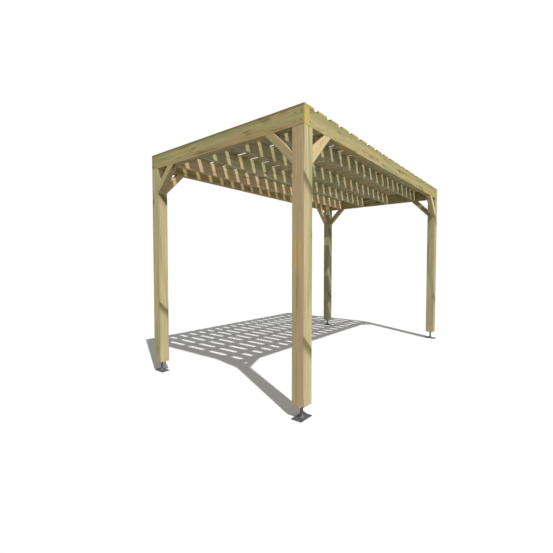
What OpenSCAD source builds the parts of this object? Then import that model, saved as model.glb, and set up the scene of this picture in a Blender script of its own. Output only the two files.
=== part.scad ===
// Wooden garden pergola: four posts on steel feet, a ring of beams on top of them with rafters
// inside the ring, a flat roof of spaced slats, and eight knee braces.
// All sizes are in millimetres. +X runs along the length, -Y is the front and +Z is up.
// The origin is on the ground, under the middle of the roof.

/* [Roof] */
// Number of slats in the roof
slat_count = 20; // [12:1:24]
// Width of one slat
slat_w = 145; // [95:5:145]
// Thickness of the slats
slat_t = 21; // [18:1:28]
// Gap between neighbouring slats
slat_gap = 60; // [20:5:80]
// Length of the slats, which is the outer width of the frame
frame_w = 2150; // [1800:50:3000]

/* [Beams and rafters] */
// Thickness of the four beams in the ring
beam_t = 70; // [45:1:75]
// Thickness of the rafters
rafter_t = 45; // [38:1:50]
// Depth of the beams and rafters
beam_d = 145; // [120:5:195]
// Number of rafters inside the ring of beams
rafter_count = 4; // [2:1:4]
// Distance from one rafter to the next, centre to centre
rafter_pitch = 477; // [300:1:480]

/* [Posts] */
// Side of the square posts
post_s = 120; // [90:5:150]
// Height of the beams' underside above the ground
head_h = 2378; // [2000:1:2600]

/* [Knee braces] */
// Length along the post that a brace covers, from its toe to the beam
brace_leg = 290; // [220:10:500]
// Width of a brace, seen square on
brace_d = 70; // [45:5:95]
// Thickness of the braces
brace_t = 70; // [45:1:75]

/* [Post feet] */
// Height of a foot, which lifts the post off the ground
foot_h = 116; // [100:1:160]
// Length of the base plate
plate_l = 160; // [140:5:200]
// Width of the base plate
plate_w = 100; // [90:5:120]
// Thickness of the base plate
plate_t = 8; // [6:1:10]
// Diameter of the stem
stem_d = 24; // [18:1:36]
// Radius of the flared collar where it meets the base plate
flare_r = 41; // [30:1:45]
// Height of the flared collar
flare_h = 50; // [30:1:60]
// Diameter of the fixing holes
hole_d = 12; // [8:1:14]

/* [Hidden] */
frame_l = slat_count * slat_w + (slat_count - 1) * slat_gap;
slat_pitch = slat_w + slat_gap;
beam_top = head_h + beam_d;
// Middle of a post, measured from the middle of the frame
post_x = (frame_l - post_s) / 2;
post_y = (frame_w - post_s) / 2;
// Square tongue that runs up inside the corner of the ring of beams
tongue_s = post_s - beam_t;
// Upper edge of a brace along the post, so that brace_d is its true width
brace_inner_leg = brace_leg - brace_d * sqrt(2);
// Steel plate between the stem and the post
head_plate_s = 80;
head_plate_t = 5;
// Distance from the edge of the base plate to a hole
hole_inset = 20;
round_fn = 64;
timber = [0.70, 0.65, 0.40];
roof_timber = [0.64, 0.60, 0.38];
brace_timber = [0.68, 0.62, 0.42];
steel = [0.27, 0.28, 0.28];

// Corner name, side along X and side along Y
CORNERS = [
    ["front_left", -1, -1],
    ["front_right", 1, -1],
    ["back_left", -1, 1],
    ["back_right", 1, 1]
];

function rafter_name(i) = str("rafter_", i);
function slat_name(i) = str("slat_", i < 10 ? "0" : "", i);
// A brace is named after its wall first and then after the post that it stands on
function long_brace_name(corner) = str("brace_", corner[2] < 0 ? "front_" : "back_", corner[1] < 0 ? "left" : "right");
function end_brace_name(corner) = str("brace_", corner[1] < 0 ? "left_" : "right_", corner[2] < 0 ? "front" : "back");

// A square post that carries the beams on its outer half and runs up behind them as a tongue
module post(sx, sy) {
    color(timber) {
        translate([sx * post_x - post_s / 2, sy * post_y - post_s / 2, foot_h])
            cube([post_s, post_s, head_h - foot_h]);
        translate([
            sx * (post_x - (post_s - tongue_s) / 2) - tongue_s / 2,
            sy * (post_y - (post_s - tongue_s) / 2) - tongue_s / 2,
            head_h - 1
        ])
            cube([tongue_s, tongue_s, beam_d + 1]);
    }
}

// Outline of the stem with its flared collar, turned about Z
module stem_outline() {
    stem_r = stem_d / 2;
    flare_points = [for (a = [90 : -7.5 : 0])
        [flare_r - (flare_r - stem_r) * cos(a), plate_t + flare_h - flare_h * sin(a)]];
    polygon(concat(
        [[0, plate_t - 1], [flare_r, plate_t - 1]],
        flare_points,
        [[stem_r, foot_h - head_plate_t + 1], [0, foot_h - head_plate_t + 1]]
    ));
}

// A steel foot: base plate with four holes, flared collar, stem and head plate
module foot(sx, sy) {
    // The long side of the plate turns from corner to corner
    turn = sx * sy > 0 ? 0 : 90;
    color(steel)
    translate([sx * post_x, sy * post_y, 0])
    rotate([0, 0, turn]) {
        difference() {
            translate([-plate_l / 2, -plate_w / 2, 0])
                cube([plate_l, plate_w, plate_t]);
            for (ix = [-1, 1], iy = [-1, 1])
                translate([ix * (plate_l / 2 - hole_inset), iy * (plate_w / 2 - hole_inset), -1])
                    cylinder(d = hole_d, h = plate_t + 2, $fn = round_fn);
        }
        rotate_extrude($fn = round_fn) stem_outline();
        translate([-head_plate_s / 2, -head_plate_s / 2, foot_h - head_plate_t])
            cube([head_plate_s, head_plate_s, head_plate_t]);
    }
}

// A beam along one end of the frame, over the whole width
module end_beam(sx) {
    color(timber)
    translate([sx * (frame_l - beam_t) / 2 - beam_t / 2, -frame_w / 2, head_h])
        cube([beam_t, frame_w, beam_d]);
}

// A beam or rafter of thickness t that runs lengthwise between the end beams, centred on y
module long_timber(y, t) {
    color(timber)
    translate([-frame_l / 2 + beam_t, y - t / 2, head_h])
        cube([frame_l - 2 * beam_t, t, beam_d]);
}

// A slat across the roof, counted from the left end
module slat(i) {
    color(roof_timber)
    translate([-frame_l / 2 + (i - 1) * slat_pitch, -frame_w / 2, beam_top])
        cube([slat_w, frame_w, slat_t]);
}

// A brace as seen square on: the post is the line x = 0 and the beam is the line z = 0
module brace_outline() {
    polygon([[0, -brace_leg], [0, -brace_inner_leg], [brace_inner_leg, 0], [brace_leg, 0]]);
}

// A brace under a long beam, flush with the outside of the post
module long_brace(sx, sy) {
    color(brace_timber)
    translate([sx * (post_x - post_s / 2), sy * (frame_w - brace_t) / 2 + brace_t / 2, head_h])
    mirror([sx > 0 ? 1 : 0, 0, 0])
    rotate([90, 0, 0])
        linear_extrude(height = brace_t) brace_outline();
}

// A brace under an end beam, flush with the outside of the post
module end_brace(sx, sy) {
    color(brace_timber)
    translate([sx * (frame_l - brace_t) / 2 - brace_t / 2, sy * (post_y - post_s / 2), head_h])
    mirror([0, sy > 0 ? 1 : 0, 0])
    rotate([90, 0, 90])
        linear_extrude(height = brace_t) brace_outline();
}

for (c = CORNERS) {
    post(c[1], c[2]);
    foot(c[1], c[2]);
    long_brace(c[1], c[2]);
    end_brace(c[1], c[2]);
}
long_timber(-(frame_w - beam_t) / 2, beam_t);  // beam_front
long_timber((frame_w - beam_t) / 2, beam_t);  // beam_back
end_beam(-1);  // beam_left
end_beam(1);  // beam_right
for (i = [1 : rafter_count])
    long_timber((i - (rafter_count + 1) / 2) * rafter_pitch, rafter_t);
for (i = [1 : slat_count])
    slat(i);
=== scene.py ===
# %% [markdown]
# # A timber pergola on steel feet
# The real thing is a flat roof of spaced slats on a ring of sawn beams. Four square posts hold it up,
# and each stands clear of the ground on a steel foot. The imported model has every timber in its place,
# so this lesson reads each place from it and only works on how the pergola looks.

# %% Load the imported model
import math
from statistics import NormalDist

import bmesh
import bpy
import numpy as np
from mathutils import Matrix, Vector


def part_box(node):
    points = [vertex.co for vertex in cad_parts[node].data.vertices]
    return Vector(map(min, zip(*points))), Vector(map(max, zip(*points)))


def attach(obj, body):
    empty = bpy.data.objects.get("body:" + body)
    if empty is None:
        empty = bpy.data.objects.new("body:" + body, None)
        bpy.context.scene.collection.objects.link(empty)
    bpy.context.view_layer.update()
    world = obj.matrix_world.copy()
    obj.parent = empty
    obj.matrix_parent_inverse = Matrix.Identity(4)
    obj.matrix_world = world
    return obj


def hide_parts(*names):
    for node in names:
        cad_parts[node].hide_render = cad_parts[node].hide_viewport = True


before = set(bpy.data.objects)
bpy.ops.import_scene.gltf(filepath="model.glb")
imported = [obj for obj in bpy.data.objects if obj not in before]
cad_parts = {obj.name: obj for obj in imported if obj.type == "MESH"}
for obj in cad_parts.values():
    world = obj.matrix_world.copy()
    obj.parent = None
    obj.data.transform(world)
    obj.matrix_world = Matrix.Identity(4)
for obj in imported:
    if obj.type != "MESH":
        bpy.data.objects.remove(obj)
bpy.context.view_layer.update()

scene = bpy.context.scene


def box_of(node):
    """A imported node's lowest corner, its highest corner and its middle, as arrays."""
    low, high = (np.array(corner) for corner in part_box(node))
    return low, high, (low + high) / 2


# %% [markdown]
# ## Camera
# The pergola is seen from a little under head height, close to one corner, with a wide lens. A wide
# lens is what makes the near post so much taller than the far ones. The camera could be aimed with a
# Track To constraint, but plain angles are easier to read and give the same view on every run.

# %% Camera
EYE = (-4.2774, -2.5982, 1.2830)
HEADING_DEG = 38.617   # turned from +X towards +Y
DIP_DEG = 2.175        # looking slightly down
SENSOR_MM = 36
LENS_MM = 22.237

camera = bpy.data.objects.new("camera", bpy.data.cameras.new("camera"))
scene.collection.objects.link(camera)
scene.camera = camera
camera.location = EYE
camera.rotation_euler = (math.radians(90 - DIP_DEG), 0, math.radians(HEADING_DEG - 90))
camera.data.lens = LENS_MM
camera.data.sensor_width = SENSOR_MM
camera.data.sensor_fit = "HORIZONTAL"
print("camera lens:", LENS_MM, "mm")

# %% [markdown]
# ## Light
# One key light comes over the front left corner and throws the roof's striped shadow behind the
# pergola, and a plain white studio surround fills the rest. An area light could be the key, but its
# rays spread and would fan the stripes out. A sun's rays are parallel, and its angle softens them.
# The surround is dimmer for light than for the eye, so the background stays white.

# %% Key light and white surround
SUN_TRAVEL = Vector((0.330, 0.641, -1.0))
SUN_STRENGTH = 3.6
SUN_SPREAD_DEG = 0.9
# How bright the surround is, by the height of a direction: 0 is straight down, 0.5 level, 1 straight up
FILL = [(0.0, 0.28), (0.42, 0.36), (0.5, 0.50), (0.66, 0.42), (1.0, 0.20)]
FILL_FRONT = 0.25      # extra from the front, where a studio has its big white screen

key = bpy.data.objects.new("key", bpy.data.lights.new("key", "SUN"))
scene.collection.objects.link(key)
key.rotation_euler = SUN_TRAVEL.to_track_quat("-Z", "Y").to_euler()
key.data.energy = SUN_STRENGTH
key.data.angle = math.radians(SUN_SPREAD_DEG)
scene.view_settings.view_transform = "Standard"


def feed(tree, node, inputs):
    """Fill a shader node's inputs with values or with other sockets."""
    for name, value in inputs.items():
        if isinstance(value, bpy.types.NodeSocket):
            tree.links.new(value, node.inputs[name])
        else:
            node.inputs[name].default_value = value
    return node


def chain(tree, kind, inputs=None, **settings):
    """Add one shader node, set its fields and fill its inputs."""
    node = tree.nodes.new(kind)
    for field, value in settings.items():
        setattr(node, field, value)
    return feed(tree, node, inputs or {})


def maths(tree, operation, first, second=0.5, third=0.5):
    """One arithmetic step on two or three values."""
    return chain(tree, "ShaderNodeMath", {0: first, 1: second, 2: third}, operation=operation).outputs[0]


surround = bpy.data.worlds.new("surround")
scene.world = surround
surround.use_nodes = True
tree = surround.node_tree
tree.nodes.clear()
direction = chain(tree, "ShaderNodeSeparateXYZ",
                  {"Vector": chain(tree, "ShaderNodeTexCoord").outputs["Generated"]}).outputs
level = maths(tree, "MULTIPLY_ADD", direction["Z"], 0.5, 0.5)
fill_ramp = chain(tree, "ShaderNodeValToRGB", {"Fac": level})
stops = fill_ramp.color_ramp.elements
for index, (position, grey) in enumerate(FILL):
    stop = stops[index] if index < 2 else stops.new(position)
    stop.position, stop.color = position, (grey, grey, grey, 1)
screen = maths(tree, "MAXIMUM", maths(tree, "MULTIPLY", direction["Y"], -FILL_FRONT), 0.0)
fill = maths(tree, "ADD", fill_ramp.outputs["Color"], screen)
for_light = chain(tree, "ShaderNodeBackground", {"Color": (1, 1, 1, 1), "Strength": fill})
for_eye = chain(tree, "ShaderNodeBackground", {"Color": (1, 1, 1, 1), "Strength": 1.0})
path = chain(tree, "ShaderNodeLightPath")
both = chain(tree, "ShaderNodeMixShader", {0: path.outputs["Is Camera Ray"],
                                           1: for_light.outputs[0], 2: for_eye.outputs[0]})
chain(tree, "ShaderNodeOutputWorld", {"Surface": both.outputs[0]})
print("light: sun", SUN_STRENGTH, "and a surround of", len(FILL), "levels")

# %% [markdown]
# ## Floor
# A plain pale floor catches the shadow. It is made as one large plane. It doesn't throw light back up,
# as grass or paving wouldn't, so the undersides of the roof stay as dark as they are outdoors.

# %% Floor
FLOOR_SIDE = 120.0
FLOOR_GREY = 0.82


def new_finish(name):
    """An empty material, its node tree and its surface shader."""
    finish = bpy.data.materials.new(name)
    finish.use_nodes = True
    return finish, finish.node_tree, finish.node_tree.nodes["Principled BSDF"]


bpy.ops.mesh.primitive_plane_add(size=FLOOR_SIDE)
floor = bpy.context.object
floor.name = "floor"
floor.visible_diffuse = False
pale, tree, surface = new_finish("pale_floor")
feed(tree, surface, {"Base Color": (FLOOR_GREY, FLOOR_GREY, FLOOR_GREY, 1), "Roughness": 1.0})
floor.data.materials.append(pale)
print("floor:", FLOOR_SIDE, "m square")

# %% [markdown]
# ## The shape of a planed board
# A planed board is a rectangle with eased corners, carried along its length. The easing is never quite
# even, because the cutter wanders and the corners get knocked, so its radius changes along the board.
# A cube with a Bevel modifier would look machined. Here the outline is worked out at every station
# along the board as one array, and each end is pulled in by a small chamfer.

# %% Board outline and stations
CORNER_STEPS = 3       # facets round one eased corner
STATION_GAP = 0.11     # metres between stations along a board
END_CHAMFER = 0.0015

corner_angles = np.linspace(0, math.pi / 2, CORNER_STEPS + 1)
CORNER = np.repeat(np.arange(4), CORNER_STEPS + 1)
TURN = CORNER * math.pi / 2 + np.tile(corner_angles, 4)
SIGN_U = np.array([1, -1, -1, 1])[CORNER]
SIGN_V = np.array([1, 1, -1, -1])[CORNER]
RING = len(TURN)


def eased_outline(width, thickness, radius):
    """Outline points of a board at every station: four straight faces joined by quarter circles.

    A corner's circle is centred one radius in from both faces, and its points are that centre plus
    radius times (cos, sin) of an angle that turns through 90 degrees. width and thickness hold one
    number a station, and radius holds one for each station and corner.
    """
    r = radius[:, CORNER]
    u = SIGN_U * (width[:, None] / 2 - r) + r * np.cos(TURN)
    v = SIGN_V * (thickness[:, None] / 2 - r) + r * np.sin(TURN)
    return u, v


def stations(length):
    """Fractions of the length: close together at the ends for the chamfer, and even between them."""
    inner = np.linspace(0, 1, max(3, int(length / STATION_GAP) + 1))
    return np.concatenate([[0, END_CHAMFER / length], inner[1:-1], [1 - END_CHAMFER / length, 1]])


print("outline points:", RING)

# %% [markdown]
# ## Carrying the outline along the board
# Some boards are cut square and the knee braces are mitred at 45 degrees, so the two ends are planes
# that may lean. Each outline point runs along the board from one plane to the other. The same function
# also writes down where every point lies in the log, which the timber finish needs for its grain.

# %% Board surface
SEED = 7
rng = np.random.default_rng(SEED)
WANDER = 0.35          # how far the easing radius strays, as a share of itself
SWINGS = (2.3, 5.9, 13.0)   # the rates at which it strays, in radians a metre
LEAN = 0.012           # how far a pith line may lean, in metres a metre
FIRST_RUN = 60         # a board starts somewhere in this many metres of figure


def board(start, end, across, width, thickness, ease, pith, cut_start=None, cut_end=None, run=None):
    """A board as points, rings and grain: an eased outline carried from start to end.

    A point is start + u*across + v*through + s*along. s runs from the start plane to the end plane,
    and a plane with normal n is met at s = -(u*across + v*through).n / (along.n). The grain
    coordinate is (s, u - pith_u, v - pith_v), measured from a pith line that leans a little. Its s is
    shifted at random so that no two boards share a figure, unless run says where s starts.
    """
    start, end, across = (np.asarray(value, float) for value in (start, end, across))
    length = np.linalg.norm(end - start)
    along = (end - start) / length
    through = np.cross(along, across)
    f = stations(length)
    chamfered = np.where((f == 0) | (f == 1), 2 * END_CHAMFER, 0)
    phases = rng.uniform(0, 2 * math.pi, (len(SWINGS), 4))
    swing = sum(np.sin(f[:, None] * length * rate + phase) for rate, phase in zip(SWINGS, phases))
    radius = ease * (1 + WANDER / len(SWINGS) * swing)
    u, v = eased_outline(width - chamfered, thickness - chamfered, radius)
    cut_start = along if cut_start is None else np.asarray(cut_start, float)
    cut_end = along if cut_end is None else np.asarray(cut_end, float)
    aside = u[..., None] * across + v[..., None] * through
    s_start = -(aside @ cut_start) / (along @ cut_start)
    s_end = length - (aside @ cut_end) / (along @ cut_end)
    s = s_start + f[:, None] * (s_end - s_start)
    points = start + aside + s[..., None] * along
    lean = rng.uniform(-LEAN, LEAN, 2) if run is None else (0, 0)
    run = rng.uniform(0, FIRST_RUN) if run is None else run
    grain = np.stack([s + run, u - pith[0] + lean[0] * s, v - pith[1] + lean[1] * s], -1)
    return points.reshape(-1, 3), grain.reshape(-1, 3), len(f)


print("easing wanders by up to", WANDER, "of itself, seed", SEED)

# %% [markdown]
# ## From points to a mesh
# The points are joined into a tube of four-sided faces with a cap on each end. The flat faces are
# shaded flat and the eased corners smooth, so light rolls over an edge and stays even on a face. The
# caps take a second finish, because the cut end of a timber looks different from its faces. Each mesh
# also carries its grain coordinate and one tone number for the whole board.

# %% Faces and attributes
# The straight face after corner 0 or corner 2 of the outline is wide, and after 1 or 3 it is narrow
STEP = np.arange(RING) % (CORNER_STEPS + 1)
NARROW = (STEP == CORNER_STEPS) & (CORNER % 2 == 1)
EASED = STEP < CORNER_STEPS
FACE, CUT, EDGE = 0, 1, 2      # a board's finishes, in the order of its material slots


def ring_quads(rows, columns):
    """Faces of a tube of rings: quad (row, column) joins a piece of its ring to the next ring."""
    row, column = np.meshgrid(np.arange(rows - 1), np.arange(columns), indexing="ij")
    beside = (column + 1) % columns
    return np.stack([row * columns + column, row * columns + beside,
                     (row + 1) * columns + beside, (row + 1) * columns + column], -1).reshape(-1, 4)


def ring_caps(rows, columns):
    """The two faces that shut a tube of rings: its first ring turned round, and its last ring."""
    return np.arange(columns)[::-1], (rows - 1) * columns + np.arange(columns)


def smooth_quads(rows):
    """Which quads of a board are shaded smooth: its eased corners, but not the chamfers at its ends."""
    smooth = np.tile(EASED, (rows - 1, 1))
    smooth[[0, -1]] = False
    return smooth.ravel()


def timber_mesh(name, boards, tone):
    """One mesh from several boards, each a tube of its own, with its grain and tone attributes."""
    points, grain, quads, caps, smooth = [], [], [], [], []
    first = 0
    for board_points, board_grain, rows in boards:
        points.append(board_points)
        grain.append(board_grain)
        quads.append(ring_quads(rows, RING) + first)
        caps += [cap + first for cap in ring_caps(rows, RING)]
        smooth.append(smooth_quads(rows))
        first += len(board_points)
    points, grain, quads = np.concatenate(points), np.concatenate(grain), np.concatenate(quads)
    mesh = bpy.data.meshes.new(name)
    mesh.from_pydata(points.tolist(), [], quads.tolist() + [cap.tolist() for cap in caps])
    finish = np.concatenate([np.where(NARROW[np.arange(len(quads)) % RING], EDGE, FACE),
                             np.full(len(caps), CUT)])
    mesh.polygons.foreach_set("use_smooth", np.concatenate([*smooth, np.zeros(len(caps), bool)]))
    mesh.polygons.foreach_set("material_index", finish.astype(np.int32))
    mesh.attributes.new("grain", "FLOAT_VECTOR", "POINT").data.foreach_set("vector", grain.ravel())
    tones = np.full(len(points), tone)
    mesh.attributes.new("tone", "FLOAT", "POINT").data.foreach_set("value", tones)
    mesh.update()
    return mesh


def add_piece(mesh, finishes, node=None):
    """Put a mesh in the scene as a piece fixed to the frame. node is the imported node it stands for."""
    piece = bpy.data.objects.new(mesh.name, mesh)
    scene.collection.objects.link(piece)
    for finish in finishes:
        mesh.materials.append(finish)
    if node:
        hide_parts(node)
    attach(piece, "root")


def timber_piece(node, boards, finishes, tone=None):
    """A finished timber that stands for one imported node. Its tone is random unless it is given."""
    tone = rng.uniform(0, 1) if tone is None else tone
    add_piece(timber_mesh(node + "_timber", boards, tone), finishes, node)


print("faces round a board:", RING, "eased:", EASED.sum(), "narrow:", NARROW.sum())

# %% [markdown]
# ## The timber finish
# Pressure treated softwood is straw coloured, with a green cast where the salts took well and tan or
# pink streaks of heartwood. A flat wood picture would repeat and slide round corners. Instead the
# colour is looked up inside the log: growth rings are circles round the pith line, and fibres, stains
# and knots are noise that is stretched along it. Faces, edges and cut ends then agree by themselves.

# %% Small steps of a finish
NOISE_SPREAD = 0.115   # how far noise strays from one half
RING_WIDTH = 0.0052
RING_BEND = ((0.9, 7.0, 7.0), 3.0, 2.0)
BENT_RINGS = 5.0       # how many rings the bend can move a line by
LATE_FROM, LATE_PEAK = 0.35, 0.93     # where in a ring the latewood starts and is darkest


def figure(tree, vector, factors, shift=0.0, detail=3.0, roughness=0.5):
    """Smooth random values near one half, whose figure is 1/factor metres long and wide.

    The noise is read at grain * factors + shift, so another shift gives a figure of its own.
    """
    place = chain(tree, "ShaderNodeVectorMath", {0: vector, 1: factors, 2: (shift, shift, shift)},
                  operation="MULTIPLY_ADD").outputs[0]
    return chain(tree, "ShaderNodeTexNoise", {"Vector": place, "Scale": 1.0, "Detail": detail,
                                              "Roughness": roughness}).outputs["Fac"]


def ramp(tree, value, low, high, to_low=0.0, to_high=1.0):
    """A value stretched from one range to another, smoothly and without overshoot."""
    return chain(tree, "ShaderNodeMapRange", {"Value": value, "From Min": low, "From Max": high,
                                              "To Min": to_low, "To Max": to_high},
                 interpolation_type="SMOOTHSTEP").outputs["Result"]


def cover(tree, value, share, soft, strength=1.0):
    """A mask over about this share of the surface, with soft edges, from a noise value."""
    edge = 0.5 + NOISE_SPREAD * NormalDist().inv_cdf(1 - share)
    return ramp(tree, value, edge - soft, edge + soft, 0.0, strength)


def tint(tree, amount, under, over):
    """One colour laid over another by an amount. Either may be a socket or three numbers."""
    under, over = (c if isinstance(c, bpy.types.NodeSocket) else (*c, 1) for c in (under, over))
    return chain(tree, "ShaderNodeMix", {0: amount, 6: under, 7: over}, data_type="RGBA").outputs[2]


def layered(tree, colour, layers):
    """A colour with layers over it, in order. Each layer is an amount and the colour it lays on."""
    for amount, over in layers:
        colour = tint(tree, amount, colour, over)
    return colour


def bump(tree, height, strength, distance):
    """The surface's normal, tilted by a height."""
    return chain(tree, "ShaderNodeBump", {"Height": height, "Strength": strength,
                                          "Distance": distance}).outputs["Normal"]


def pith_distance(tree, grain):
    """The distance from the pith line, which is the length of the grain coordinate without its run."""
    across = chain(tree, "ShaderNodeVectorMath", {0: grain, 1: (0, 1, 1)}, operation="MULTIPLY").outputs[0]
    return chain(tree, "ShaderNodeVectorMath", {0: across}, operation="LENGTH").outputs["Value"]


def growth_rings(tree, grain, radius):
    """Latewood lines: a saw of the distance from the pith, bent by slow noise, rising to a dark line."""
    bend = maths(tree, "MULTIPLY", figure(tree, grain, *RING_BEND), BENT_RINGS)
    saw = maths(tree, "FRACT", maths(tree, "MULTIPLY_ADD", radius, 1 / RING_WIDTH, bend))
    return maths(tree, "MULTIPLY", ramp(tree, saw, LATE_FROM, LATE_PEAK), ramp(tree, saw, 1.0, LATE_PEAK))


print("growth rings every", RING_WIDTH * 1000, "mm")

# %% [markdown]
# ## Knots and cut ends
# A knot is where a branch left the trunk. Space is cut into Voronoi cells round scattered points, and a
# few of the points get a knot with a dark rim and a soft halo of bent grain. Cut ends dry fast and stay
# yellow, so they have a colour of their own, and the rings show most there.

# %% Knots and cut ends
OLIVE = (0.150, 0.125, 0.040)
LATEWOOD = (0.320, 0.220, 0.088)
SALT_GREEN = (0.292, 0.288, 0.118)
KNOT = (0.210, 0.120, 0.045)
KNOT_RIM = (0.060, 0.040, 0.016)
CUT_YELLOW = (0.620, 0.450, 0.072)
CUT_PALE = (0.600, 0.470, 0.130)
CUT_DULL = (0.330, 0.285, 0.110)
KNOT_CELLS = (4.6, 13.0, 13.0)  # cells a metre along and across, each with one place for a knot
KNOT_SHARE = 0.22               # how many of the places have a knot
KNOT_WOBBLE = 0.10
# Distances from a knot's centre, in cells, between which a mask goes from nothing to full
HALO_FADE, KNOT_FADE = (0.42, 0.16), (0.18, 0.15)
RIM_INSIDE, RIM_OUTSIDE = (0.10, 0.155), (0.21, 0.165)
CUT_FADE = ((5.0, 30.0, 30.0), 61.0)


def knot_layers(tree, grain, stain):
    """Three layers of a knot, its halo, its heart and its rim, each a mask of the distance d from the
    centre of its cell. The stain's noise makes d wobble, so that no knot is round."""
    place = chain(tree, "ShaderNodeVectorMath", {0: grain, 1: KNOT_CELLS}, operation="MULTIPLY").outputs[0]
    cells = chain(tree, "ShaderNodeTexVoronoi", {"Vector": place, "Scale": 1.0}, feature="F1")
    draw = chain(tree, "ShaderNodeSeparateColor", {"Color": cells.outputs["Color"]}).outputs[0]
    chosen = maths(tree, "GREATER_THAN", draw, 1 - KNOT_SHARE)
    wobble = maths(tree, "MULTIPLY", maths(tree, "SUBTRACT", stain, 0.5), KNOT_WOBBLE)
    d = maths(tree, "ADD", cells.outputs["Distance"], wobble)
    rim = maths(tree, "MULTIPLY", ramp(tree, d, *RIM_INSIDE), ramp(tree, d, *RIM_OUTSIDE, 0.0, 0.70))
    masks = ((ramp(tree, d, *HALO_FADE, 0.0, 0.35), OLIVE), (ramp(tree, d, *KNOT_FADE, 0.0, 0.75), KNOT),
             (rim, KNOT_RIM))
    return [(maths(tree, "MULTIPLY", mask, chosen), colour) for mask, colour in masks]


def end_colour(tree, grain, rings, stain, cut_dull):
    """The colour of a cut end: yellow that fades in patches, with strong rings and some green stain."""
    fade = cover(tree, figure(tree, grain, *CUT_FADE), 0.5, 0.08)
    return layered(tree, tint(tree, fade, CUT_YELLOW, CUT_PALE), [
        (maths(tree, "MULTIPLY", rings, 0.50), LATEWOOD),
        (cover(tree, stain, 0.15, 0.06, 0.5), SALT_GREEN),
        (cut_dull, CUT_DULL)])


print("knots in", KNOT_SHARE, "of the cells")

# %% [markdown]
# ## Layers of a face
# Each layer is a wash over the one before. The heartwood round the pith is tan and takes no salts, and
# the sapwood outside it is straw coloured with patches of green and ochre. Rings, threads, long dark
# lines, stains, knots and fibres follow. Posts from one log batch share a dark slanting mark at two
# heights on their front faces.

# %% Layers of a face
STRAW = (0.440, 0.380, 0.172)
TAN = (0.420, 0.300, 0.142)
OCHRE = (0.500, 0.340, 0.095)
# The noise of each layer: its factors along and across the grain, its shift, detail and roughness
HEART_EDGE = ((0.35, 16.0, 16.0), 0.0, 2.0)
STREAK = ((0.8, 26.0, 26.0), 7.0, 3.0, 0.6)
OCHRE_PATCH = ((1.9, 10.0, 10.0), 11.0)
GREEN_PATCH = ((1.1, 15.0, 15.0), 23.0)
THREAD = ((1.6, 85.0, 85.0), 31.0, 3.0, 0.6)
LINE = ((0.45, 30.0, 30.0), 71.0, 4.0, 0.55)
STAIN = ((3.4, 24.0, 24.0), 41.0, 4.0, 0.6)
FIBRE = ((6.0, 420.0, 420.0), 53.0, 3.0, 0.65)
HEART_WANDER = 0.16    # metres between the heartwood's nearest and farthest edge
HEART_SOFT = 0.014     # half the width of the blend from heartwood to sapwood
SALT_FROM, SALT_FULL = 0.010, 0.070   # how far outside the heartwood the salts start and are full
SALT_GAIN = (-0.03, 0.09)
HEART_TAKES = 0.30     # how much of the green the heartwood takes
TONE_GREEN = 0.20      # how far a board's tone moves its green
TONE_HEART = 0.25      # and how much of that moves the edge of its heartwood
TONE_SPREAD = 0.28     # how much paler the palest board of a pack is than the darkest
POST_SIDE = 0.120
POST_PITH = (-0.042, 0.012)
MARK_HEIGHTS = (0.700, 2.018)   # where a mark meets the post's left edge
MARK_TOP, MARK_FADE = (0.016, -0.022), (-0.14, -0.03)   # heights in a mark, from nothing to full
MARK_FACE = (-0.044, -0.060)    # and depths from the post's middle, so that only the front is marked


def post_marks(tree, grain):
    """Dark marks on the front face that slant down to the right at 45 degrees and fade out below.

    The grain coordinate plus the pith is the place on the post. A mark is where height + across is
    just under one of the mark heights.
    """
    place = chain(tree, "ShaderNodeSeparateXYZ", {"Vector": grain}).outputs
    across = maths(tree, "ADD", place[1], POST_SIDE / 2 + POST_PITH[0])
    through = maths(tree, "ADD", place[2], POST_PITH[1])
    marks = []
    for start in MARK_HEIGHTS:
        below = maths(tree, "SUBTRACT", maths(tree, "ADD", place[0], across), start)
        marks.append(maths(tree, "MULTIPLY", ramp(tree, below, *MARK_TOP), ramp(tree, below, *MARK_FADE)))
    return maths(tree, "MULTIPLY", maths(tree, "ADD", *marks), ramp(tree, through, *MARK_FACE, 0.0, 0.88))


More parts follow.
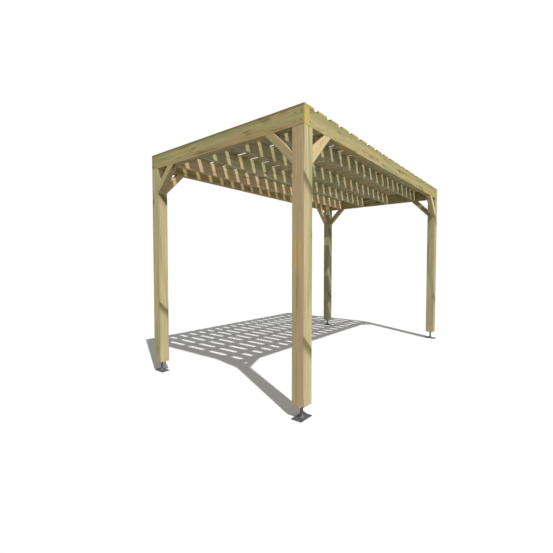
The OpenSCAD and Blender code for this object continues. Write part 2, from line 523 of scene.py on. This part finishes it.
def face_colour(tree, grain, tone, radius, rings, stain, fibre, pale, heart, ochre_share, green_share,
                stain_share, wash=1.0):
    """The colour of a face, layer by layer from the wood outwards.

    pale says how many times paler this pack is in red, green and blue, and heart how far from the pith
    its heartwood ends. The shares say how much of the surface ochre, green and stain cover, and wash
    how strong the ochre, the green and the dark lines are.
    """
    def patch(noise, share, soft, strength):
        return cover(tree, figure(tree, grain, *noise), share, soft, strength)

    straw, tan, gold, salts = (tuple(np.multiply(colour, pale).clip(0, 1))
                               for colour in (STRAW, TAN, OCHRE, SALT_GREEN))
    shift = maths(tree, "MULTIPLY", maths(tree, "SUBTRACT", tone, 0.5), TONE_GREEN)
    stray = maths(tree, "SUBTRACT", figure(tree, grain, *HEART_EDGE), 0.5)
    edge = maths(tree, "MULTIPLY_ADD", stray, HEART_WANDER, radius)
    edge = maths(tree, "SUBTRACT", edge, maths(tree, "MULTIPLY", shift, TONE_HEART))
    sap = ramp(tree, edge, heart - HEART_SOFT, heart + HEART_SOFT)
    salted = ramp(tree, edge, heart + SALT_FROM, heart + SALT_FULL)
    green = maths(tree, "SUBTRACT", figure(tree, grain, *GREEN_PATCH), shift)
    green = maths(tree, "ADD", green, ramp(tree, salted, 0.0, 1.0, *SALT_GAIN))
    taken = maths(tree, "MULTIPLY_ADD", sap, 1 - HEART_TAKES, HEART_TAKES)
    return layered(tree, tint(tree, sap, tan, straw), [
        (patch(STREAK, 0.42, 0.10, 0.50), tan),
        (patch(OCHRE_PATCH, ochre_share, 0.06, 0.80 * wash), gold),
        (maths(tree, "MULTIPLY", cover(tree, green, green_share, 0.06, 0.85 * wash), taken), salts),
        (maths(tree, "MULTIPLY", rings, 0.30), LATEWOOD),
        (patch(THREAD, 0.40, 0.10, 0.30), LATEWOOD),
        (patch(LINE, 0.10, 0.025, 0.55 * wash), OLIVE),
        (cover(tree, stain, stain_share, 0.05, 0.65), OLIVE),
        *knot_layers(tree, grain, stain),
        (ramp(tree, fibre, 0.30, 0.72, 0.0, 0.20), LATEWOOD)])


print("colour of the heartwood:", TAN, "and of the sapwood:", STRAW)

# %% [markdown]
# ## Packs of timber
# Posts, beams, rafters, slats and braces come from different packs, and no two packs look alike. Each
# pack has three finishes, for the wide faces, the cut ends and the narrow edges. The slats' narrow
# edges are darkened towards olive. This is painted shade: they are coloured as if they lay in shade.

# %% Packs of timber
def timber_finish(name, cut_end=False, cut_dull=0.0, painted_shade=0.0, marks=False, **pack):
    """A treated softwood finish, read from the grain coordinate and the board's own tone number.

    cut_dull says how far a cut end has lost its yellow, and painted_shade how far an edge is darkened
    towards olive, which is painted shade on it. pack holds what face_colour() asks for.
    """
    finish, tree, surface = new_finish(name)
    grain = chain(tree, "ShaderNodeAttribute", attribute_name="grain").outputs["Vector"]
    tone = chain(tree, "ShaderNodeAttribute", attribute_name="tone").outputs["Fac"]
    radius = pith_distance(tree, grain)
    rings = growth_rings(tree, grain, radius)
    stain, fibre = figure(tree, grain, *STAIN), figure(tree, grain, *FIBRE)
    if cut_end:
        colour = end_colour(tree, grain, rings, stain, cut_dull)
    else:
        colour = face_colour(tree, grain, tone, radius, rings, stain, fibre, **pack)
    if marks:
        colour = tint(tree, post_marks(tree, grain), colour, OLIVE)
    # Painted shade: an edge's colour is darkened towards olive as if it lay in shade
    if painted_shade:
        colour = tint(tree, painted_shade, colour, OLIVE)
    paleness = maths(tree, "MULTIPLY_ADD", tone, TONE_SPREAD, 1 - TONE_SPREAD / 2)
    colour = chain(tree, "ShaderNodeVectorMath", {0: colour, "Scale": paleness}, operation="SCALE")
    relief = maths(tree, "MULTIPLY_ADD", fibre, 0.6, maths(tree, "MULTIPLY", rings, -0.5))
    feed(tree, surface, {"Base Color": colour.outputs[0], "Specular IOR Level": 0.28,
                         "Roughness": maths(tree, "MULTIPLY_ADD", fibre, 0.24, 0.60),
                         "Normal": bump(tree, relief, 0.35, 0.0012)})
    return finish


def timber_finishes(name, edge_painted_shade=0.0, cut_dull=0.0, marks=False, **pack):
    """The finishes of one pack of timber: its wide faces, its cut ends and its narrow edges."""
    return [timber_finish(name, marks=marks, **pack),
            timber_finish(name + "_cut_end", cut_end=True, cut_dull=cut_dull, **pack),
            timber_finish(name + "_edge", marks=marks, painted_shade=edge_painted_shade, **pack)]


post_finish = timber_finishes("post_timber", marks=True, pale=(1.38, 1.45, 1.80), heart=0.062,
                              ochre_share=0.12, green_share=0.24, stain_share=0.02)
beam_finish = timber_finishes("beam_timber", pale=(1.10, 1.18, 1.19), heart=0.070,
                              ochre_share=0.22, green_share=0.44, stain_share=0.20)
rafter_finish = timber_finishes("rafter_timber", pale=(1.58, 1.67, 2.14), heart=0.062,
                                ochre_share=0.16, green_share=0.40, stain_share=0.14, wash=0.75)
# The slats' narrow edges get painted shade: their colour goes most of the way to olive
slat_finish = timber_finishes("slat_timber", edge_painted_shade=0.80, cut_dull=0.50, heart=0.080,
                              pale=(1.30, 1.45, 1.70), ochre_share=0.15, green_share=0.35, stain_share=0.12,
                              wash=0.75)
brace_finish = timber_finishes("brace_timber", pale=(1.40, 1.48, 1.70), heart=0.068,
                               ochre_share=0.12, green_share=0.16, stain_share=0.04, wash=0.70)
print("timber finishes:", len(post_finish + beam_finish + rafter_finish + slat_finish + brace_finish))

# %% [markdown]
# ## Posts
# Each post is one square timber with the heart of the log near its middle. Its head carries the beams
# on the outer half, and the inner corner runs on up between them as a narrower tongue.

# %% Posts
CORNERS = [("front_left", -1, -1), ("front_right", 1, -1), ("back_left", -1, 1), ("back_right", 1, 1)]
# Two posts were sawn with the heart farther over, so their left faces show less of it
PITH_SHIFT = {"front_left": 0.0, "front_right": 0.040, "back_left": 0.072, "back_right": 0.0}
POST_TONE = {"front_left": 0.50, "front_right": 0.15, "back_left": 0.38, "back_right": -0.15}
POST_EASE = 0.0040
TONGUE_EASE = 0.0015
TONGUE_SINK = 0.010    # how far the tongue starts inside the post, so that no gap shows

head_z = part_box("beam_front")[0].z
beam_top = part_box("beam_front")[1].z
beam_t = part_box("beam_front")[1].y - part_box("beam_front")[0].y
for corner, side_x, side_y in CORNERS:
    low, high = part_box("post_" + corner)
    middle = (low + high) / 2
    side = high.x - low.x
    pith = np.array([PITH_SHIFT[corner] + POST_PITH[0], POST_PITH[1]])
    start = low.z - PITH_SHIFT[corner]     # keeps the slanting marks level on every post
    body = board((middle.x, middle.y, low.z), (middle.x, middle.y, head_z), (1, 0, 0),
                 side, side, POST_EASE, pith, run=start)
    tongue = side - beam_t
    inward = (side - tongue) / 2
    x, y = middle.x - side_x * inward, middle.y - side_y * inward
    upper = board((x, y, head_z - TONGUE_SINK), (x, y, beam_top), (1, 0, 0), tongue, tongue, TONGUE_EASE,
                  pith + inward * np.array([side_x, side_y]), run=start + head_z - low.z)
    timber_piece("post_" + corner, [body, upper], post_finish, POST_TONE[corner])
print("posts:", len(CORNERS), "tongue:", round(tongue * 1000), "mm square")

# %% [markdown]
# ## Beams and rafters
# The ring of beams is cut from the side of larger logs, so the pith lies outside the section and the
# rings meet the face as long flat arcs. The rafters are the same depth but thinner.

# %% Beams and rafters
BEAM_EASE = 0.0030
BEAM_TONE = 0.5
# A beam's pith, down from the middle of its face and inwards from the middle of its thickness
BEAM_PITH = (-0.046, 0.050)
HEART_SIDE = {"beam_front": -1, "beam_back": 1, "beam_left": 1, "beam_right": -1}
BOARD_WIDTH = 0.145
PITH_STRAY = 0.4                # how far over a board its pith may lie, as a share of its width
RAFTER_PITH = (0.04, 0.09)      # how far the pith lies from the middle of the thickness


def box_board(node, ease, pith):
    """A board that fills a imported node's box, lying along the box's longest side.

    Its width is the box's second longest side and its thickness is the shortest.
    """
    low, high, middle = box_of(node)
    size = high - low
    thin, wide, long = np.argsort(size)
    start, end = middle.copy(), middle.copy()
    start[long], end[long] = low[long], high[long]
    return board(start, end, np.eye(3)[wide], size[wide], size[thin], ease, pith)


def side_pith(depth_range):
    """A pith line beyond one wide face of the board, at a random place across its width."""
    side = rng.choice([-1, 1])
    return (rng.uniform(-PITH_STRAY, PITH_STRAY) * BOARD_WIDTH, side * rng.uniform(*depth_range))


rafter_nodes = sorted(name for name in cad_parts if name.startswith("rafter_"))
for node, inwards in HEART_SIDE.items():
    beam = box_board(node, BEAM_EASE, (BEAM_PITH[0], inwards * BEAM_PITH[1]))
    timber_piece(node, [beam], beam_finish, BEAM_TONE)
for node in rafter_nodes:
    rafter = box_board(node, BEAM_EASE, side_pith(RAFTER_PITH))
    timber_piece(node, [rafter], rafter_finish)
print("beams:", len(HEART_SIDE), "rafters:", len(rafter_nodes))

# %% [markdown]
# ## Roof slats
# The slats are thin and wide, so their faces cut the rings nearly flat and show tall pointed arches.
# No two of them match in tone, and that is most of what makes the roof look like real timber.

# %% Roof slats
SLAT_EASE = 0.0022
SLAT_PITH = (0.03, 0.08)

slat_nodes = sorted(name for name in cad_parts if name.startswith("slat_"))
for node in slat_nodes:
    slat = box_board(node, SLAT_EASE, side_pith(SLAT_PITH))
    timber_piece(node, [slat], slat_finish)
print("slats:", len(slat_nodes))

# %% [markdown]
# ## Knee braces
# A knee brace stiffens the corner between a post and a beam. It is a square section cut at 45 degrees
# at both ends, so its two end planes are the side of the post and the underside of the beam.

# %% Knee braces
BRACE_EASE = 0.0030
# The braces under the long beams show pale sapwood outside, and the others are cut near the heart
LONG_BRACE_TONE, END_BRACE_TONE = 1.3, 0.10
LONG_BRACE_PITH, END_BRACE_PITH = (0.100, 0.020), (0.004, 0.010)
UP = np.array([0, 0, 1])


def corner_braces(corner, side_x, side_y):
    """The braces under a corner's long and end beam: node, thickness axis and way the beam runs."""
    return [("brace_" + corner, 1, -side_x), ("brace_" + "_".join(corner.split("_")[::-1]), 0, -side_y)]


def brace_toe(node, out_axis, side):
    """Where a brace's underside meets the post, its leg, and the way its beam runs as a vector.

    side is +1 if the beam runs towards + from the post.
    """
    low, high, toe = box_of(node)
    run = 1 - out_axis                          # the beam's direction is X for 0, Y for 1
    toe[run], toe[2] = (low[run] if side > 0 else high[run]), low[2]
    return toe, high[2] - low[2], np.eye(3)[run] * side


def brace_board(node, out_axis, side, pith):
    """A mitred board across the corner of a packed brace's box.

    The centre line starts on the post's side, half a mitre above the toe, and ends under the beam,
    half a mitre in from the tip.
    """
    toe, leg, beamwards = brace_toe(node, out_axis, side)
    low, high, _ = box_of(node)
    section = high[out_axis] - low[out_axis]
    half_mitre = section * math.sqrt(2) / 2
    return board(toe + half_mitre * UP, toe + (leg - half_mitre) * beamwards + leg * UP,
                 np.eye(3)[out_axis], section, section, BRACE_EASE, pith, cut_start=beamwards, cut_end=UP)


for corner, side_x, side_y in CORNERS:
    long_brace, end_brace = corner_braces(corner, side_x, side_y)
    outside = (-side_y * LONG_BRACE_PITH[0], LONG_BRACE_PITH[1])
    for brace, pith, tone in ((long_brace, outside, LONG_BRACE_TONE),
                              (end_brace, END_BRACE_PITH, END_BRACE_TONE)):
        timber_piece(brace[0], [brace_board(*brace, pith)], brace_finish, tone)
print("knee braces:", 2 * len(CORNERS))

# %% [markdown]
# ## Steel feet
# A foot holds the post's end grain clear of the wet ground. Its base plate is drilled for four ground
# anchors. A stem that flares out at the bottom is welded to it, with a small square plate on top. The
# plate could be drilled with Boolean modifiers, but those leave long thin faces. Here it is made of four
# mirrored quarters, and each quarter is rings of points that run from its outline in to its hole.

# %% A drilled plate
HOLE_STEPS = 40
PLATE_T = 0.008
PLATE_EASE = 0.0010
HOLE_INSET = 0.020
HOLE_R = 0.006
HOLE_EASE = 0.0005
SAME = 1e-6        # metres within which two points are one


def plate_quarter(half_x, half_y):
    """Points and faces of the quarter of a base plate with x and y above 0.

    Each angle round the hole has one column. Its outer point is where the ray from the hole's centre
    meets the quarter's outline, and an eased outer point is the same point held back from the plate's
    sides. The rows go up the side, in over the top, down the hole and out along the underside. No side
    wall is made where the outline is the line to the next quarter.
    """
    hole_x, hole_y = half_x - HOLE_INSET, half_y - HOLE_INSET
    corner_x, corner_y = np.array([0, half_x, half_x, 0]), np.array([0, 0, half_y, half_y])
    half_step = math.pi / HOLE_STEPS          # keeps every ray off the two axes
    angle = np.unique(np.concatenate([
        np.linspace(-math.pi, math.pi, HOLE_STEPS, endpoint=False) + half_step,
        np.arctan2(corner_y - hole_y, corner_x - hole_x)]))
    ray_x, ray_y = np.cos(angle), np.sin(angle)
    reach_x = (np.where(ray_x > 0, half_x, 0) - hole_x) / ray_x
    reach_y = (np.where(ray_y > 0, half_y, 0) - hole_y) / ray_y
    reach = np.minimum(reach_x, reach_y)
    x, y = (hole_x + reach * ray_x).round(7), (hole_y + reach * ray_y).round(7)
    held_x, held_y = np.minimum(x, half_x - PLATE_EASE), np.minimum(y, half_y - PLATE_EASE)
    rows = [(held_x, held_y, 0), (x, y, PLATE_EASE), (x, y, PLATE_T - PLATE_EASE),
            (held_x, held_y, PLATE_T)]
    wall = len(rows) - 1                      # the rows of quads that may be side wall
    for radius, z in ((HOLE_R + HOLE_EASE, PLATE_T), (HOLE_R, PLATE_T - HOLE_EASE),
                      (HOLE_R, HOLE_EASE), (HOLE_R + HOLE_EASE, 0)):
        rows.append((hole_x + radius * ray_x, hole_y + radius * ray_y, z))
    points = np.stack([np.stack([px, py, np.full_like(px, pz)], -1) for px, py, pz in rows])
    count = len(angle)
    row, column = np.meshgrid(np.arange(len(rows)), np.arange(count), indexing="ij")
    beside, above = (column + 1) % count, (row + 1) % len(rows)
    quads = np.stack([row * count + column, row * count + beside,
                      above * count + beside, above * count + column], -1)
    on_line = ((x < SAME) & (np.roll(x, -1) < SAME)) | ((y < SAME) & (np.roll(y, -1) < SAME))
    kept = ~((row < wall) & on_line[column])
    return points.reshape(-1, 3), quads[kept]


print("plate quarter:", len(plate_quarter(0.08, 0.05)[1]), "faces")

# %% [markdown]
# ## The stem of a foot
# The stem and its flare are one profile turned round the post's middle line. The profile also holds the
# weld at the foot of the flare, whose ripples are a small wave of the radius round the turn. A Screw
# modifier would turn a plain profile, but it couldn't put the ripples in.

# %% Stem, flare and welds
STEM_R = 0.012
FLARE_R, FLARE_H = 0.041, 0.050
HEAD_PLATE_SIDE, HEAD_PLATE_T = 0.080, 0.005
WELD = 0.0026
WELD_RIPPLE, RIPPLES = 0.0003, 34
STEM_COLUMNS = 68
FLARE_STEPS, WELD_STEPS = 16, 5
SUNK = 0.001           # how far the stem reaches into both plates


def stem_surface(top):
    """Rings of the stem at (r cos a, r sin a, z): a quarter ellipse from the plate up to the stem.

    The flare is r = flare_r - (flare_r - stem_r) cos t and z = plate + flare_h (1 - sin t), with t
    from 90 to 0 degrees. A weld is a quarter round at the foot of the flare and another under the head
    plate, and r gains ripple * sin(ripples * a) along both.
    """
    turn = np.linspace(math.pi / 2, 0, FLARE_STEPS)
    round_weld = np.linspace(0, math.pi / 2, WELD_STEPS)
    toe_r = FLARE_R + WELD * np.cos(round_weld) - WELD / 2
    toe_z = PLATE_T + WELD * np.sin(round_weld)
    flare_r = FLARE_R - (FLARE_R - STEM_R) * np.cos(turn)
    flare_z = PLATE_T + FLARE_H * (1 - np.sin(turn))
    above = flare_z > toe_z[-1]
    neck_r = STEM_R + WELD * (1 - np.cos(round_weld))
    neck_z = top - WELD + WELD * np.sin(round_weld)
    radius = np.concatenate([[toe_r[0]], toe_r, flare_r[above], neck_r, [neck_r[-1]]])
    height = np.concatenate([[PLATE_T - SUNK], toe_z, flare_z[above], neck_z, [top + SUNK]])
    rippled = np.concatenate([np.ones(1 + WELD_STEPS), np.zeros(above.sum() + 2), np.ones(WELD_STEPS - 1)])
    angle = np.linspace(0, 2 * math.pi, STEM_COLUMNS, endpoint=False)
    r = radius[:, None] + WELD_RIPPLE * rippled[:, None] * np.sin(RIPPLES * angle)[None, :]
    return np.stack([r * np.cos(angle), r * np.sin(angle), np.broadcast_to(height[:, None], r.shape)], -1)


print("stem:", stem_surface(0.111).shape[:2], "rings and columns")

# %% [markdown]
# ## Painted steel
# The feet are dark grey with a dull, slightly uneven coat. Scuffs and dust make it paler in places, and
# fine specks in the paint break up the shine.

# %% Painted steel
PAINT_DARK, PAINT_PALE, SCUFF = (0.078, 0.086, 0.086), (0.120, 0.130, 0.128), (0.230, 0.230, 0.215)

steel, tree, surface = new_finish("foot_steel")
place = chain(tree, "ShaderNodeTexCoord").outputs["Object"]
mottle = figure(tree, place, (60.0, 60.0, 60.0), 0.0, 4.0)
scuff = figure(tree, place, (170.0, 170.0, 30.0), 9.0, 4.0, 0.65)
speck = figure(tree, place, (900.0, 900.0, 900.0), 0.0, 2.0)
colour = tint(tree, ramp(tree, mottle, 0.35, 0.65), PAINT_DARK, PAINT_PALE)
colour = tint(tree, cover(tree, scuff, 0.16, 0.05, 0.55), colour, SCUFF)
feed(tree, surface, {"Base Color": colour, "Metallic": 0.25, "Normal": bump(tree, speck, 0.25, 0.0004),
                     "Roughness": ramp(tree, mottle, 0.3, 0.7, 0.40, 0.60)})
print("steel:", steel.name)

# %% [markdown]
# ## Putting a foot together
# A foot is one mesh of three closed shells: the drilled plate, the turned stem and the head plate. The
# plate is one quarter and its mirror images, with their shared points merged. Mirroring turns faces
# inside out, so all normals are worked out again at the end.

# %% Feet
HEAD_PLATE_EASE = 0.0008
HEAD_CORNER_R = 0.003


def foot_mesh(name, middle, half_x, half_y, height):
    """One foot: four mirrored plate quarters, the stem and the head plate, each a closed shell."""
    build = bmesh.new()

    def add(points, faces, smooth=False):
        verts = [build.verts.new(point) for point in (points.reshape(-1, 3) + middle).tolist()]
        for face in faces:
            build.faces.new([verts[index] for index in face.tolist()]).smooth = smooth

    points, quads = plate_quarter(half_x, half_y)
    used, quads = np.unique(quads, return_inverse=True)
    for mirror in ((1, 1, 1), (-1, 1, 1), (-1, -1, 1), (1, -1, 1)):
        add(points[used] * mirror, quads.reshape(-1, 4))
    stem = stem_surface(height - HEAD_PLATE_T)
    add(stem, ring_quads(*stem.shape[:2]), smooth=True)
    for ring, cap in zip((stem[0], stem[-1]), (np.arange(STEM_COLUMNS)[::-1], np.arange(STEM_COLUMNS))):
        add(ring, [cap])
    bmesh.ops.remove_doubles(build, verts=build.verts, dist=SAME)
    side = HEAD_PLATE_SIDE - 2 * HEAD_PLATE_EASE * np.array([1, 0, 0, 1])
    u, v = eased_outline(side, side, np.full((4, 4), HEAD_CORNER_R))
    z = height - np.array([HEAD_PLATE_T, HEAD_PLATE_T - HEAD_PLATE_EASE, HEAD_PLATE_EASE, 0])
    plate = np.stack([u, v, np.broadcast_to(z[:, None], u.shape)], -1)
    add(plate, [*ring_quads(*u.shape), *ring_caps(*u.shape)])
    bmesh.ops.recalc_face_normals(build, faces=build.faces)
    mesh = bpy.data.meshes.new(name)
    build.to_mesh(mesh)
    build.free()
    return mesh


for corner, _, _ in CORNERS:
    low, high, middle = box_of("foot_" + corner)
    size = high - low
    foot = foot_mesh("foot_" + corner + "_steel", (*middle[:2], low[2]), *size[:2] / 2, size[2])
    add_piece(foot, [steel], "foot_" + corner)
print("feet:", len(CORNERS), "faces each:", len(foot.polygons))

# %% [markdown]
# ## Screws
# The roof is screwed down from above, two screws where a slat crosses each beam or rafter, and larger
# screws hold the beams and braces. A screw head is a shallow dome with a recess for the driver. Hundreds
# of heads need few faces each, so one head is a profile of five points turned round its own axis, and
# all the heads of a kind are placed at once by adding their centres to that one shape.

# %% Screw heads
HEAD_SIDES = 10
# Points of a head's profile, from its underside up and in: distance from the axis, and height
HEAD_PROFILE = np.array([(1.00, -0.15), (1.00, 0.10), (0.72, 0.30), (0.45, 0.34), (0.36, 0.08)])
TARNISH_DARK, TARNISH_PALE = (0.110, 0.092, 0.050), (0.190, 0.162, 0.095)

screw_steel, tree, surface = new_finish("screw_steel")
place = chain(tree, "ShaderNodeTexCoord").outputs["Object"]
tarnish = figure(tree, place, (160.0, 160.0, 160.0), 5.0, 3.0)
colour = tint(tree, ramp(tree, tarnish, 0.38, 0.62), TARNISH_DARK, TARNISH_PALE)
feed(tree, surface, {"Base Color": colour, "Metallic": 0.3,
                     "Roughness": ramp(tree, tarnish, 0.3, 0.7, 0.45, 0.65)})


def screw_heads(name, centres, normals, radius, profile=HEAD_PROFILE, sides=HEAD_SIDES):
    """One piece of many heads. centres and normals are arrays with one row a screw.

    Point (k, a) of a head is centre + radius * profile_r[k] * (cos a * side + sin a * over)
    + radius * profile_h[k] * normal, where side and over are two directions square to the normal.
    """
    centres, normals = np.asarray(centres, float), np.asarray(normals, float)
    side = np.cross(normals, np.roll(normals, 1, axis=1))
    side /= np.linalg.norm(side, axis=1, keepdims=True)
    over = np.cross(normals, side)
    angle = np.linspace(0, 2 * math.pi, sides, endpoint=False)[None, :, None]
    circle = np.cos(angle) * side[:, None, :] + np.sin(angle) * over[:, None, :]
    outwards, upwards = radius * profile.T[:, None, :, None, None]
    rings = centres[:, None, None, :] + outwards * circle[:, None] + upwards * normals[:, None, None, :]
    count, rows = len(centres), len(profile)
    first = np.arange(count)[:, None, None] * rows * sides
    quads = (ring_quads(rows, sides) + first).reshape(-1, 4)
    underside, recess = (cap + first[:, 0] for cap in ring_caps(rows, sides))
    mesh = bpy.data.meshes.new(name)
    faces = quads.tolist() + recess.tolist() + underside.tolist()
    mesh.from_pydata(rings.reshape(-1, 3).tolist(), [], faces)
    mesh.polygons.foreach_set("use_smooth", np.arange(len(mesh.polygons)) < len(quads))
    mesh.update()
    add_piece(mesh, [screw_steel])
    print(name, count, "heads")


print("screw head:", HEAD_SIDES, "sides and", len(HEAD_PROFILE), "rings")

# %% [markdown]
# ## Where the screws go
# A slat screw is placed from the timbers: it sits over the middle of the beam or rafter it is driven
# into. A beam screw sits on a beam's outer face, at heights from its underside and at listed places
# near the middle of the timber behind it.

# %% Places of the screws
SLAT_SCREW_R = 0.0045
FRAME_SCREW_R = 0.0055
ACROSS_SLAT = 0.040         # from the middle of a slat to a screw
STRAY = 0.003               # how far a slat screw may sit off its line
BEAM_ROWS = (0.040, 0.110)  # heights above the underside of a beam
END_BEAM_Y = (-1.045, -0.985, 0.985, 1.045)   # through an end beam into a long beam and a tongue
LONG_BEAM_X = (-1.935, 1.935)                 # through a long beam into a tongue

length_half, width_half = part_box("beam_right")[1].x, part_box("beam_back")[1].y
lines = np.sort([box_of(node)[2][1] for node in ["beam_front", "beam_back", *rafter_nodes]])
slat_x = np.sort([box_of(node)[2][0] for node in slat_nodes])
x, y, step = np.meshgrid(slat_x, lines, (-ACROSS_SLAT, ACROSS_SLAT), indexing="ij")
places = np.stack([x + step, y, np.full_like(x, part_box("slat_01")[1].z)], -1).reshape(-1, 3)
places[:, :2] += rng.uniform(-STRAY, STRAY, (len(places), 2))
screw_heads("slat_screws", places, np.tile((0, 0, 1), (len(places), 1)), SLAT_SCREW_R)

heights = [head_z + row for row in BEAM_ROWS]
beam_screws, directions = [], []
for side in (-1, 1):
    beam_screws += [(side * length_half, y, z) for y in END_BEAM_Y for z in heights]
    directions += [(side, 0, 0)] * (len(END_BEAM_Y) * len(heights))
    beam_screws += [(x, side * width_half, z) for x in LONG_BEAM_X for z in heights]
    directions += [(0, side, 0)] * (len(LONG_BEAM_X) * len(heights))
screw_heads("beam_screws", beam_screws, directions, FRAME_SCREW_R)

# %% [markdown]
# ## Screws of the braces and the feet
# A knee brace is screwed on from its underside, two screws near each end, and a post's foot is held by
# four hexagon heads under its head plate. Both kinds are the same turned profile as before, and six
# sides instead of ten make the hexagon.

# %% Screws of the braces and the feet
FROM_TIP = 0.055            # along the brace's underside from its tip to the screws
APART = 0.016               # half the distance between two screws
HEX_R = 0.0070
HEX_SIDES = 6
HEX_PROFILE = np.array([(1.35, -0.10), (1.35, 0.12), (1.00, 0.16), (1.00, 0.75), (0.86, 0.86),
                        (0.20, 0.86)])
HEX_PLACE = 0.028           # from a post's middle to a head, along X and along Y

brace_screws, directions = [], []
for corner in CORNERS:
    for brace in corner_braces(*corner):
        toe, leg, beamwards = brace_toe(*brace)
        along, down = (beamwards + UP) / math.sqrt(2), (beamwards - UP) / math.sqrt(2)
        places = [toe + reach * along + beside * np.eye(3)[brace[1]]
                  for reach in (FROM_TIP, leg * math.sqrt(2) - FROM_TIP) for beside in (-APART, APART)]
        brace_screws += places
        directions += [down] * len(places)
screw_heads("brace_screws", brace_screws, directions, FRAME_SCREW_R)

x, y = np.meshgrid((-HEX_PLACE, HEX_PLACE), (-HEX_PLACE, HEX_PLACE))
middles = np.array([box_of("post_" + corner)[2] for corner, _, _ in CORNERS])
hex_x, hex_y = middles[:, :1] + x.ravel(), middles[:, 1:2] + y.ravel()
hex_z = np.full_like(hex_x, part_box("foot_front_left")[1].z - HEAD_PLATE_T)
places = np.stack([hex_x, hex_y, hex_z], -1).reshape(-1, 3)
screw_heads("foot_screws", places, np.tile((0, 0, -1), (len(places), 1)), HEX_R, HEX_PROFILE, HEX_SIDES)
